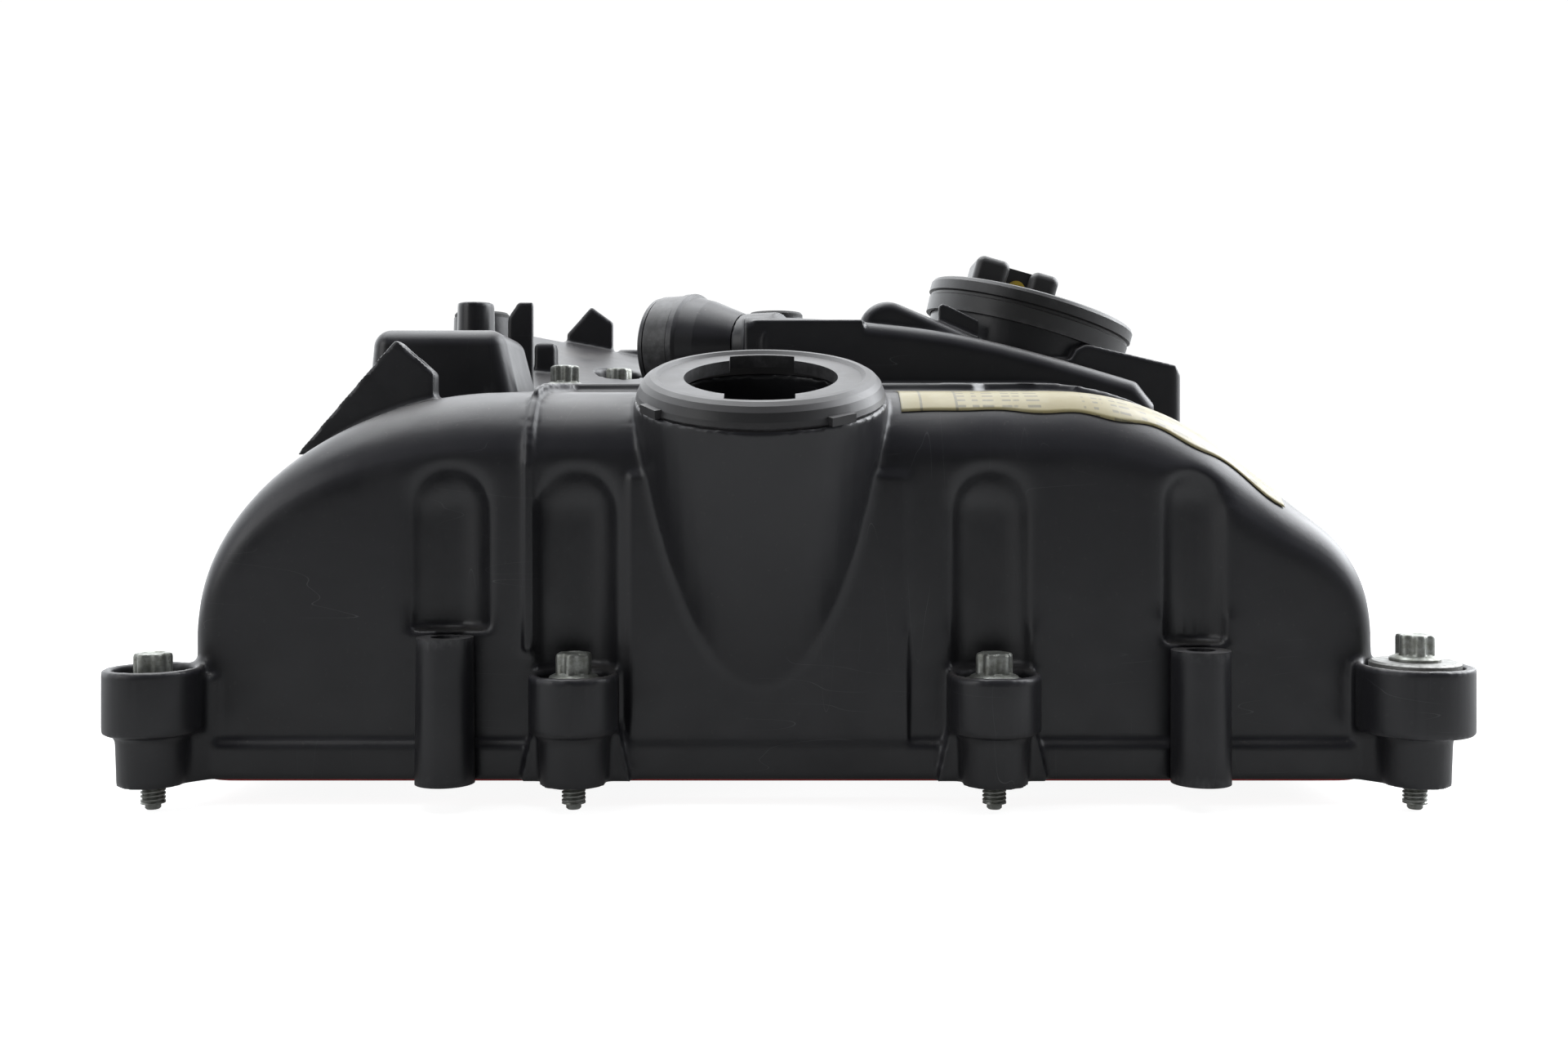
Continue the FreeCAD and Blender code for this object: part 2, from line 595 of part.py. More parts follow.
def duct_root(inset):
    """Deeper left end of the duct, where the outlet pipe is joined."""
    solid = box(-12.0 + inset, 24.0 + inset, behind(DUCT_FRONT + inset), behind(ROOT_BACK - inset), 70.0,
                ROOT_TOP - inset)
    left = [e for e in solid.Edges if e.BoundBox.XMax < -11.9 + inset and e.BoundBox.ZMax > 100]
    return solid.makeFillet(4.0 - inset / 2, left)


def rear_box(inset):
    outline = [(20.0 + inset, 70.0), (20.0 + inset, 117.0 - inset), (58.0, 117.0 - inset), (70.0, 113.6 - inset),
               (88.8 + inset, 113.6 - inset), (90.6 + inset, 116.8 - inset), (93.8, 118.3 - inset),
               (121.6 - inset, 111.7 - inset), (123.6 - inset, 108.4 - inset), (123.6 - inset, 60.0)]
    solid = plate_xz(outline, REAR_BOX_FRONT + inset, HOUSING_BACK - inset)
    upright = [e for e in solid.Edges if e.BoundBox.ZLength > 20]
    return solid.makeFillet(3.5 - inset / 2, upright)


def hump(inset):
    """Rounded bulge behind the duct."""
    y = behind(79.0 + inset)
    run = rounded_run([V(14.0 + inset, y, 100.0), V(27.0 + inset, y, 134.5 - inset), V(66.0, y, 117.6 - inset),
                       V(66.0, y, 100.0)], [9.0 - inset, 2.6])
    run.append(Part.LineSegment(V(66.0, y, 100.0), V(14.0 + inset, y, 100.0)).toShape())
    solid = Part.Face(Part.Wire(run)).extrude(V(0, 18.0 - 2 * inset, 0))
    rims = [e for e in solid.Edges if abs(e.Vertexes[0].Y - e.Vertexes[-1].Y) < 0.01 and e.BoundBox.ZMax > 112]
    return solid.makeFillet(3.0 - inset / 2, rims)


def separator_shell(skin):
    """Upper half of the separator: duct, valve housing, hump and welding flange in one moulding."""
    axis = lid_axis()
    housing = cylinder(NECK_OUTER_R, lid_point(-50), axis, 50 - 3.4)
    stub = cylinder(PIPE_FOOT_R, pipe_point(PIPE_END), pipe_axis() * -1, 12)
    outer = duct(0).fuse([duct_root(0), rear_box(0), hump(0), stub])
    outer = outer.cut(cylinder(LID_R + 1.0, lid_point(-LID_SKIRT - 1.0), axis, 60)).fuse(housing)
    plate = plate_xz([(48.0, 105.0), (48.0, 130.2), (49.4, 131.2), (60.6, 125.9), (60.6, 105.0)], 82.5, 84.3)
    keep_off_lid = cylinder(LID_R + 0.8, lid_point(-LID_SKIRT - 0.8), axis, 60)
    outer = outer.fuse(plate.cut(keep_off_lid))
    weld = cover_body(-2.2).common(box(-15.0, 126.0, behind(62.0), behind(150.0), 40, 140))
    outer = outer.fuse(weld)

    bore = cylinder(NECK_INNER_R, lid_point(VALVE_LEDGE), axis, 40)
    below = cylinder(VALVE_BORE, lid_point(SEAT_LEDGE), axis, 40)
    open_foot = cylinder(VALVE_BORE - 2.0, lid_point(-60), axis, 60)
    inner = duct(SHELL_WALL).fuse([duct_root(SHELL_WALL), rear_box(SHELL_WALL), hump(SHELL_WALL)])
    inner = inner.cut(cylinder(NECK_OUTER_R, lid_point(-50), axis, 60))
    chimneys = [well_cone(x, 0.6) for x in WELL_X[1:]]
    passage = cylinder(PIPE_FOOT_BORE, pipe_point(PIPE_END + 6), pipe_axis() * -1, 18)
    return outer.cut([inner, bore, below, open_foot, passage, skin] + chimneys)


def pipe_axis():
    """Out of the pipe's mouth: left and away."""
    turn = math.radians(PIPE_TURN)
    return V(-math.cos(turn), math.sin(turn), 0)


def pipe_point(along):
    x, distance, z = PIPE_MOUTH
    return V(x, behind(distance), z) + pipe_axis() * along


def outlet_pipe():
    """Flared pipe end, cone and foot that meets the duct."""
    profile = [(PIPE_BORE, 0.0), (PIPE_R - 0.6, 0.0), (PIPE_R - 0.3, -0.4), (PIPE_R - 0.3, -1.6),
               (PIPE_R - 1.6, -2.2), (PIPE_R - 1.6, -10.2), (PIPE_R + 0.4, -10.6), (PIPE_R + 0.4, -12.4),
               (PIPE_R - 0.7, -13.2), (14.7, -18.6), (PIPE_FOOT_R, PIPE_END), (PIPE_FOOT_BORE, PIPE_END),
               (PIPE_BORE - 1.5, -16.0), (PIPE_BORE, -15.0)]
    return turned(profile, pipe_point(0), pipe_axis()).cut(duct_root(0))


def outlet_band():
    return tube(PIPE_R, PIPE_R - 1.6, pipe_point(-10.2), pipe_axis(), 8.0)


def breather_lid():
    """Round cap over the breather valve, with a waisted grip."""
    axis = lid_axis()
    profile = [(0.0, -LID_TOP_T), (26.4, -LID_TOP_T), (26.4, -9.4), (28.8, -9.4), (28.8, -8.2), (27.5, -8.2),
               (27.5, -5.8), (28.8, -5.8), (28.8, -LID_TOP_T), (31.9, -LID_TOP_T), (31.9, -LID_SKIRT),
               (33.3, -LID_SKIRT), (33.6, -6.0), (33.2, -5.6), (33.2, -4.8), (LID_R, -4.4), (LID_R, -1.4),
               (33.5, -0.4), (32.6, 0.0), (0.0, 0.0)]
    disc = turned(profile, lid_point(0), axis)
    lobes = []
    for start, end, top in ((-22.6, -11.4, GRIP_TOP), (-4.2, 5.2, GRIP_TOP - 0.4)):
        lobe = box(start, end, -11.0, 11.0, -0.5, top)
        lobes.append(lobe.makeFillet(2.6, [e for e in lobe.Edges if e.BoundBox.ZMax > 8]))
    waist = box(-14.0, -2.0, -GRIP_WAIST, GRIP_WAIST, -0.5, GRIP_TOP - 1.2)
    grip = lobes[0].fuse([lobes[1], waist])
    grip.Placement = FreeCAD.Placement(lid_point(0), FreeCAD.Rotation(UP, axis))
    return disc.fuse(grip)


def lid_mark():
    front = -GRIP_WAIST
    disc = cylinder(3.0, V(-7.4, front - 0.5, 2.6), V(0, 1, 0), 0.5)
    mark = disc.common(box(-20, 20, front - 1, front, 0.05, 8))
    mark.Placement = FreeCAD.Placement(lid_point(0), FreeCAD.Rotation(UP, lid_axis()))
    return mark


def lid_o_ring():
    ring = Part.makeTorus(NECK_INNER_R - 0.05 - 0.68, 0.68)
    ring.Placement = FreeCAD.Placement(lid_point(-7.0), FreeCAD.Rotation(UP, lid_axis()))
    return ring


def diaphragm():
    """Rolling rubber membrane between the housing and the valve plate."""
    profile = [(28.6, -13.0), (28.6, -10.6), (26.4, -10.6), (25.9, -11.2), (23.4, -11.2), (22.4, -14.6),
               (19.4, -14.6), (18.4, -11.2), (15.0, -11.2), (15.0, -12.0), (17.8, -12.0), (18.8, -15.4),
               (23.0, -15.4), (24.0, -12.0), (25.6, -12.0), (26.2, -13.0)]
    return turned(profile, lid_point(0), lid_axis())


def valve_plate():
    profile = [(0.0, -13.6), (14.9, -13.6), (14.9, -10.8), (13.4, -10.8), (13.4, -12.2), (3.0, -12.2),
               (3.0, -10.4), (0.0, -10.4)]
    return turned(profile, lid_point(0), lid_axis())


def valve_spring():
    turns, pitch, coil_r, wire_r = 4.5, 2.09, 9.6, 0.45
    helix = Part.makeHelix(pitch, turns * pitch, coil_r)
    circle = Part.Wire(Part.makeCircle(wire_r, V(coil_r, 0, 0), V(0, 1, pitch / (2 * math.pi * coil_r))))
    spring = Part.Wire(helix).makePipeShell([circle], True, True)
    spring.Placement = FreeCAD.Placement(lid_point(-24.0 + wire_r + 0.02), FreeCAD.Rotation(UP, lid_axis()))
    return spring


def valve_seat():
    """Disc with the valve's mouth in the middle and drain slots round it."""
    profile = [(5.2, -28.0), (7.2, -28.0), (7.2, -26.0), (VALVE_BORE, -26.0), (VALVE_BORE, -24.0), (11.4, -24.0),
               (7.6, -24.0), (7.2, -17.2), (5.2, -17.2)]
    seat = turned(profile, lid_point(0), lid_axis())
    holes = []
    for step in range(6):
        spoke = FreeCAD.Rotation(UP, lid_axis()).multiply(FreeCAD.Rotation(UP, 60.0 * step))
        hole = Part.makeCylinder(2.6, 6.0, V(18.0, 0, -28.0))
        hole.Placement = FreeCAD.Placement(lid_point(0), spoke)
        holes.append(hole)
    return seat.cut(holes)


def cyclone_insert():
    """Plate with four small cyclones, standing in the front duct."""
    plate = box(2.0, 50.0, behind(DUCT_FRONT + 3.0), behind(DUCT_BACK - 3.2), 114.0, 115.6)
    cones, bores = [], []
    for number in range(4):
        centre = V(8.0 + 12.0 * number, behind((DUCT_FRONT + DUCT_BACK) / 2 - 0.1), 106.5)
        cones.append(Part.makeCone(2.2, 3.8, 9.0, centre))
        bores.append(Part.makeCone(1.4, 3.0, 9.2, centre - V(0, 0, 0.05)))
    return plate.fuse(cones).cut(bores)


def separator_baffle():
    """Row of staggered upright plates on a common strip, in the rear chamber."""
    strip = box(25.0, 40.6, behind(106.0), behind(142.0), 108.9, 110.1)
    plates = []
    for number in range(5):
        shift = 2.0 if number % 2 else -2.0
        y = behind(110.0 + 7.0 * number)
        plates.append(box(28.5 + shift, 37.5 + shift, y, y + 1.2, 110.0, 114.0))
    return strip.fuse(plates)


def oil_drain_tray():
    """Open pan welded to the underside of the roof, with a drain spout."""
    outer = box(34.0, 92.0, behind(52.0), behind(140.0), 82.0, 120.0)
    inner = box(36.0, 90.0, behind(54.0), behind(138.0), 84.0, 121.0)
    pan = outer.cut(inner).common(cover_body(WALL))
    spout = cylinder(4.4, V(60.0, behind(96.0), 76.0), UP, 7.0)
    bore = cylinder(3.0, V(60.0, behind(96.0), 75.0), UP, 10.0)
    return pan.fuse(spout).cut(bore)


def drain_valve():
    """Rubber duckbill on the tray's spout."""
    profile = [(4.4, 81.8), (5.4, 81.8), (5.4, 74.5), (2.2, 66.0), (1.2, 66.0), (3.4, 75.8), (4.4, 75.8)]
    return turned(profile, V(60.0, behind(96.0), 0), UP)


# ---------------------------------------------------------------- all pieces

def build():
    skin = cover_body(0)
    pieces = {
        "cover_shell": cover_shell(skin),
        "filler_neck_ring": filler_neck_ring(),
        "cover_gasket": cover_gasket(),
        "label": label(),
        "chamber_cap": chamber_cap(skin),
        "separator_shell": separator_shell(skin),
        "outlet_pipe": outlet_pipe(),
        "outlet_band": outlet_band(),
        "breather_lid": breather_lid(),
        "lid_mark": lid_mark(),
        "lid_o_ring": lid_o_ring(),
        "diaphragm": diaphragm(),
        "valve_plate": valve_plate(),
        "valve_spring": valve_spring(),
        "valve_seat": valve_seat(),
        "cyclone_insert": cyclone_insert(),
        "separator_baffle": separator_baffle(),
        "oil_drain_tray": oil_drain_tray(),
        "drain_valve": drain_valve(),
    }
    for number, x in enumerate(WELL_X, 1):
        pieces[f"injector_tube_{number}"] = injector_tube(x)
        pieces[f"injector_seal_{number}"] = injector_seal(x)
    for side, place in zip(("left", "right"), TUBES):
        pieces[f"stud_tube_{side}"] = stud_tube(*place)
    sleeves, grommets = [], []
    for name, x, y, cup_radius, _, seat in bolt_places():
        pieces[name] = bolt(x, y, seat, BOLT_TIP)
        raised = seat > SEAT_Z
        washer_r = cup_radius - CUP_WALL - (0.9 if raised else 1.1)
        sleeves.append(sleeve(x, y, seat, seat - SEAT_Z, washer_r))
        grommets.append(grommet(x, y, cup_radius, seat))
    for number, (x, distance, seat) in enumerate(ROOF_BOLTS, 1):
        pieces[f"bolt_roof_{number}"] = bolt(x, behind(distance), seat, ROOF_BOLT_TIP)
        sleeves.append(tube(8.4, SLEEVE_BORE, V(x, behind(distance), seat - 1.0), UP, 1.0))
    pieces["bolt_sleeves"] = Part.makeCompound(sleeves)
    pieces["bolt_grommets"] = Part.makeCompound(grommets)
    return pieces


os.makedirs("parts", exist_ok=True)
for node, shape in build().items():
    print(f"{node:20s} valid={shape.isValid()} solids={len(shape.Solids)} volume={shape.Volume:.0f}")
    shape.exportStep(f"parts/{node}.step")
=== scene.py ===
import math

import bmesh
import bpy
import numpy as np
from mathutils import Matrix, Vector
from mathutils.bvhtree import BVHTree


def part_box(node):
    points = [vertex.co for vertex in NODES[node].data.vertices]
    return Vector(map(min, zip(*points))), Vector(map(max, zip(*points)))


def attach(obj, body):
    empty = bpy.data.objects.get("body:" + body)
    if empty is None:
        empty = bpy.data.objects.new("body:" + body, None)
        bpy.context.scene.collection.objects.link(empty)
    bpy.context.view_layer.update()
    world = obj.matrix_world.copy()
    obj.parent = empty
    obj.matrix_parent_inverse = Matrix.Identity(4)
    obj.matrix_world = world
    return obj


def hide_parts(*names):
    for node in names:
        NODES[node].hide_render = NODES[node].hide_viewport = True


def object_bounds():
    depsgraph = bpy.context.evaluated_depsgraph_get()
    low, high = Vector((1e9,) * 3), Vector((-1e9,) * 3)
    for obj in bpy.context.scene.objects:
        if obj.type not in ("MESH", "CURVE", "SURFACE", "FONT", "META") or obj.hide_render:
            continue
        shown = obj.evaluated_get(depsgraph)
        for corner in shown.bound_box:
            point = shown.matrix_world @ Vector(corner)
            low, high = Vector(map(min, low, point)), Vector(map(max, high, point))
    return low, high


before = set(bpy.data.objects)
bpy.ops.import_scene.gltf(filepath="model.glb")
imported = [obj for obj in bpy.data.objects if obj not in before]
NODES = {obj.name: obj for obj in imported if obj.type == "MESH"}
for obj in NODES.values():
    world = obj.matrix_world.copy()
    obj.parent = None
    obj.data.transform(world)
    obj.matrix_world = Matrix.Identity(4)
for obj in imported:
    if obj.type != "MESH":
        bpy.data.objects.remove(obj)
CAD_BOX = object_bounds()
MM = 0.001
UP = Vector((0, 0, 1))

# Places on the cover, in millimetres, as the CAD has them
FRONT = -110.0
TUBE_X = (-85.7, 105.4)
BEAD_X = -64.6
NECK_X = -6.0
ABOVE_ALL = 170.0

# Screws, in millimetres
HEAD_HEIGHT = 6.8
THREAD_LENGTH = 19.0
THREAD_MAJOR = 2.99
THREAD_MINOR = 2.42
THREAD_PITCH = 1.0
POINT_LENGTH = 2.1
POINT_RADIUS = 1.9

# Label, in millimetres: start and length along the cover, edges behind the front
LABEL_START, LABEL_LENGTH = 30.5, 99.5
LABEL_LOW, LABEL_HIGH = 7.4, 29.0

# Box printed on the label, in metres: middle, and half width outside and inside its line
BOX_X, BOX_OUTSIDE, BOX_INSIDE = 0.0405, 0.0050, 0.0043

# Studio: strength of the surroundings in front of and behind the object
DIM_FRONT = 0.05
BRIGHT_BACK = 2.5


# ---------------------------------------------------------------- camera, light, floor

def make_camera():
    data = bpy.data.cameras.new("camera")
    data.lens = 33.75
    data.sensor_width = 36.0
    data.shift_y = -0.031
    data.clip_start = 0.01
    data.clip_end = 30.0
    camera = bpy.data.objects.new("camera", data)
    camera.location = (0.0, -0.485, 0.078)
    camera.rotation_euler = (math.radians(90), 0, 0)
    bpy.context.scene.collection.objects.link(camera)
    bpy.context.scene.camera = camera


def area_light(name, place, target, size, power, colour=(1, 1, 1)):
    data = bpy.data.lights.new(name, "AREA")
    data.shape = "RECTANGLE"
    data.size, data.size_y = size
    data.energy = power
    data.color = colour
    lamp = bpy.data.objects.new(name, data)
    lamp.location = place
    direction = Vector(target) - Vector(place)
    lamp.rotation_euler = direction.to_track_quat("-Z", "Y").to_euler()
    lamp.visible_camera = False
    bpy.context.scene.collection.objects.link(lamp)


def wired(tree, kind, inputs=None, **settings):
    """New node; each input is a plain value or the socket that feeds it."""
    node = tree.nodes.new(kind)
    for key, value in settings.items():
        setattr(node, key, value)
    for key, value in (inputs or {}).items():
        feed(tree, node.inputs[key], value)
    return node


def feed(tree, socket, value):
    if isinstance(value, bpy.types.NodeSocket):
        tree.links.new(value, socket)
    else:
        socket.default_value = value


def seen_by_camera(tree):
    return wired(tree, "ShaderNodeLightPath").outputs["Is Camera Ray"]


def make_world():
    """White studio: bright behind and above, dimmer in front of the object."""
    world = bpy.data.worlds.new("studio")
    bpy.context.scene.world = world
    world.use_nodes = True
    tree = world.node_tree
    tree.nodes.clear()
    direction = wired(tree, "ShaderNodeTexCoord").outputs["Generated"]
    depth = wired(tree, "ShaderNodeSeparateXYZ", {0: direction}).outputs["Y"]
    fall = {"Value": depth, "From Min": -0.55, "From Max": 0.75, "To Min": DIM_FRONT, "To Max": BRIGHT_BACK}
    strength = wired(tree, "ShaderNodeMapRange", fall, interpolation_type="SMOOTHSTEP").outputs[0]
    cool = (0.95, 0.975, 1.0, 1)
    glow = wired(tree, "ShaderNodeBackground", {"Color": cool, "Strength": strength}).outputs[0]
    seen = wired(tree, "ShaderNodeBackground", {"Color": (1, 1, 1, 1), "Strength": 1.05}).outputs[0]
    mixed = wired(tree, "ShaderNodeMixShader", {0: seen_by_camera(tree), 1: glow, 2: seen}).outputs[0]
    wired(tree, "ShaderNodeOutputWorld", {0: mixed})


def make_floor():
    """Pale table under the bolts' points."""
    mesh = bpy.data.meshes.new("floor")
    half, z = 6.0, CAD_BOX[0].z - 0.2 * MM
    corners = [(-half, -half, z), (half, -half, z), (half, half, z), (-half, half, z)]
    mesh.from_pydata(corners, [], [(0, 1, 2, 3)])
    floor = bpy.data.objects.new("floor", mesh)
    bpy.context.scene.collection.objects.link(floor)
    material = bpy.data.materials.new("floor_white")
    material.use_nodes = True
    tree = material.node_tree
    glow = wired(tree, "ShaderNodeMapRange", {"Value": seen_by_camera(tree), "To Min": 0.16, "To Max": 0.92})
    for key, value in (("Base Color", (0.3, 0.3, 0.3, 1)), ("Roughness", 0.9), ("Specular IOR Level", 0.0),
                       ("Emission Color", (1, 1, 1, 1)), ("Emission Strength", glow.outputs[0])):
        feed(tree, tree.nodes["Principled BSDF"].inputs[key], value)
    mesh.materials.append(material)


def make_studio():
    make_camera()
    make_world()
    make_floor()
    area_light("top", (-0.25, 0.15, 1.1), (0, 0, 0.05), (1.1, 0.9), 10.0, (0.96, 0.98, 1.0))
    area_light("left_front", (-1.1, -0.75, 0.55), (0, -0.05, 0.05), (0.7, 0.7), 3.0)
    area_light("right_back", (0.95, 0.25, 0.75), (0.1, 0, 0.08), (1.0, 1.0), 21.0, (0.95, 0.97, 1.0))
    scene = bpy.context.scene
    scene.view_settings.view_transform = "Standard"
    scene.view_settings.look = "None"
    scene.view_settings.exposure = 0.0


# ---------------------------------------------------------------- materials

class Shade:
    """Wires the nodes of one material. Sockets and plain numbers mix freely."""

    def __init__(self, name):
        self.material = bpy.data.materials.new(name)
        self.material.use_nodes = True
        self.tree = self.material.node_tree
        self.shader = self.tree.nodes["Principled BSDF"]
        self.place = self.add("ShaderNodeTexCoord").outputs["Object"]

    def add(self, kind, inputs=None, **settings):
        return wired(self.tree, kind, inputs, **settings)

    def feed(self, socket, value):
        feed(self.tree, socket, value)

    def math(self, operation, a, b=0.0, c=0.0, clamp=False):
        return self.add("ShaderNodeMath", {0: a, 1: b, 2: c}, operation=operation, use_clamp=clamp).outputs[0]

    def ramp(self, value, start, end, low=0.0, high=1.0):
        inputs = {"Value": value, "From Min": start, "From Max": end, "To Min": low, "To Max": high}
        return self.add("ShaderNodeMapRange", inputs).outputs[0]

    def scaled(self, factors, turn=(0.0, 0.0, 0.0), place=None):
        inputs = {"Vector": place or self.place, "Rotation": turn, "Scale": factors}
        return self.add("ShaderNodeMapping", inputs).outputs[0]

    def noise(self, scale, detail=2.0, roughness=0.5, place=None, distortion=0.0):
        inputs = {"Vector": place or self.place, "Scale": scale, "Detail": detail, "Roughness": roughness,
                  "Distortion": distortion}
        return self.add("ShaderNodeTexNoise", inputs).outputs[0]

    def mix(self, share, a, b):
        node = self.add("ShaderNodeMix", data_type="RGBA")
        for index, value in ((0, share), (6, a), (7, b)):
            self.feed(node.inputs[index], value)
        return node.outputs[2]

    def axes(self, vector):
        return self.add("ShaderNodeSeparateXYZ", {0: vector}).outputs

    def facing_up(self):
        return self.axes(self.add("ShaderNodeTexCoord").outputs["Normal"])[2]

    def hairlines(self, scale, stretch, turn, width, gate_scale, gate):
        """Sparse thin scratches: the thin level set of a stretched noise, in patches."""
        lines = self.noise(scale, 1.0, 0.4, self.scaled(stretch, turn))
        near = self.math("ABSOLUTE", self.math("SUBTRACT", lines, 0.5))
        thin = self.ramp(near, 0.0, width, 1.0, 0.0)
        patch = self.ramp(self.noise(gate_scale, 2.0), gate, gate + 0.06)
        return self.math("MULTIPLY", thin, patch)

    def bump(self, *layers):
        """Stacked bumps, each (height, strength, distance in metres)."""
        normal = None
        for height, strength, distance in layers:
            node = self.add("ShaderNodeBump", {"Height": height, "Strength": strength, "Distance": distance})
            if normal is not None:
                self.feed(node.inputs["Normal"], normal)
            normal = node.outputs[0]
        self.feed(self.shader.inputs["Normal"], normal)

    def finish(self, **inputs):
        for key, value in inputs.items():
            self.feed(self.shader.inputs[key.replace("_", " ")], value)
        return self.material


def tinted(colour, factor):
    return tuple(factor * c for c in colour) + (1,)


def plastic(name, base, dusty=1.0, gloss=0.36, worn=1.0):
    """Glass-filled black nylon: fine grain, a painted sheen (lighter colour) on faces that tilt upwards, dust
    on what faces up, hairline scratches, pale worn edges.
    """
    s = Shade(name)
    mottle = s.noise(28.0, 4.0, 0.6)
    fine = s.noise(2600.0, 2.0, 0.6)
    colour = s.mix(s.ramp(mottle, 0.3, 0.7), tinted(base, 0.82), tinted(base, 1.2))
    # painted sheen: faces that tilt upwards get a lighter copy of the base colour, standing in for light
    # falling on them
    painted_top_sheen = s.ramp(s.facing_up(), 0.08, 0.26)
    colour = s.mix(s.math("MULTIPLY", painted_top_sheen, 0.75), colour, tinted(base, 2.5))
    up = s.ramp(s.facing_up(), 0.35, 0.98)
    cloud = s.ramp(s.noise(46.0, 5.0, 0.62), 0.36, 0.68)
    specks = s.ramp(s.noise(900.0, 2.0, 0.5), 0.66, 0.74)
    film = s.math("MULTIPLY", up, s.math("ADD", s.math("MULTIPLY", cloud, 0.20 * dusty), 0.05 * dusty))
    settled = s.math("ADD", film, s.math("MULTIPLY", specks, s.math("MULTIPLY_ADD", up, 0.28 * dusty, 0.035)),
                     clamp=True)
    colour = s.mix(settled, colour, (0.17, 0.155, 0.135, 1))
    edge = s.ramp(s.add("ShaderNodeNewGeometry").outputs["Pointiness"], 0.54, 0.62)
    edge = s.math("MULTIPLY", edge, s.ramp(s.noise(210.0, 4.0, 0.7), 0.42, 0.66))
    scratch = s.hairlines(15.0, (1.0, 1.0, 9.0), (0.3, 0.9, 0.2), 0.0016, 30.0, 0.57)
    crossing = s.hairlines(12.0, (10.0, 1.0, 1.2), (0.1, 0.4, 1.1), 0.0014, 22.0, 0.58)
    scratch = s.math("MAXIMUM", scratch, crossing)
    light = s.math("MAXIMUM", s.math("MULTIPLY", edge, 0.30 * worn), s.math("MULTIPLY", scratch, 0.22 * worn))
    colour = s.mix(light, colour, (0.22, 0.22, 0.23, 1))
    rough = s.math("ADD", s.ramp(s.noise(70.0, 3.0), 0.3, 0.7, gloss - 0.05, gloss + 0.05),
                   s.math("MULTIPLY", settled, 0.35))
    s.bump((s.noise(150.0, 2.0), 0.10, 0.0006), (fine, 0.16, 0.00008), (light, 0.4, 0.00005))
    return s.finish(Base_Color=colour, Roughness=rough)


def rubber(name, base, roughness):
    s = Shade(name)
    colour = s.mix(s.ramp(s.noise(160.0, 4.0), 0.35, 0.65), tinted(base, 0.8), tinted(base, 1.0))
    dust = s.ramp(s.noise(900.0, 3.0), 0.62, 0.72, 0.0, 0.25)
    colour = s.mix(dust, colour, (0.3, 0.28, 0.26, 1))
    s.bump((s.noise(1500.0, 2.0), 0.2, 0.0001))
    rough = s.ramp(s.noise(90.0), 0.3, 0.7, roughness - 0.06, roughness + 0.06)
    return s.finish(Base_Color=colour, Roughness=rough)


def metal(name, base, roughness, tarnish):
    """Plated steel: soft grey, cloudy oxide, fine turning marks."""
    s = Shade(name)
    cloud = s.ramp(s.noise(420.0, 4.0, 0.65), 0.38, 0.66)
    colour = s.mix(cloud, tinted(base, 1.0), tinted(tarnish, 1.0))
    dark = s.ramp(s.noise(1100.0, 3.0, 0.7), 0.60, 0.72)
    colour = s.mix(s.math("MULTIPLY", dark, 0.55), colour, (0.07, 0.065, 0.05, 1))
    grain = s.noise(900.0, 2.0, 0.5, s.scaled((1.0, 1.0, 9.0)))
    s.bump((grain, 0.25, 0.00006), (s.noise(2400.0), 0.2, 0.00004))
    rough = s.ramp(grain, 0.3, 0.7, roughness - 0.07, roughness + 0.07)
    rough = s.math("ADD", rough, s.math("MULTIPLY", cloud, 0.16))
    return s.finish(Base_Color=colour, Roughness=rough, Metallic=0.85)


def label_film():
    """Pale yellow foil with rows of short bars and a plain box, faded and dusty."""
    s = Shade("label_film")
    x, y, z = s.axes(s.place)
    row = s.math("FRACT", s.math("MULTIPLY", y, 420.0))
    line = s.math("MULTIPLY", s.ramp(row, 0.30, 0.34), s.ramp(row, 0.66, 0.70, 1.0, 0.0))
    words = s.ramp(s.noise(420.0, 1.0, 0.4, s.scaled((1.0, 0.05, 0.05))), 0.46, 0.50)
    block = s.ramp(s.math("SINE", s.math("MULTIPLY", x, 150.0)), -0.75, -0.70)
    ink = s.math("MULTIPLY", s.math("MULTIPLY", line, words), block)
    from_box = s.math("ABSOLUTE", s.math("SUBTRACT", x, BOX_X))
    inside = s.math("LESS_THAN", from_box, BOX_OUTSIDE)
    border = s.math("MULTIPLY", inside, s.math("GREATER_THAN", from_box, BOX_INSIDE))
    ink = s.math("MAXIMUM", s.math("MULTIPLY", ink, s.math("SUBTRACT", 1.0, inside)), border)
    paper = s.mix(s.ramp(s.noise(75.0, 4.0), 0.35, 0.65), (0.25, 0.21, 0.10, 1), (0.31, 0.275, 0.16, 1))
    colour = s.mix(s.math("MULTIPLY", ink, 0.72), paper, (0.09, 0.085, 0.06, 1))
    grime = s.ramp(s.noise(260.0, 5.0, 0.7), 0.5, 0.75, 0.0, 0.4)
    colour = s.mix(grime, colour, (0.30, 0.27, 0.19, 1))
    s.bump((s.noise(130.0, 3.0), 0.25, 0.0005))
    return s.finish(Base_Color=colour, Roughness=s.ramp(s.noise(60.0), 0.3, 0.7, 0.30, 0.46))


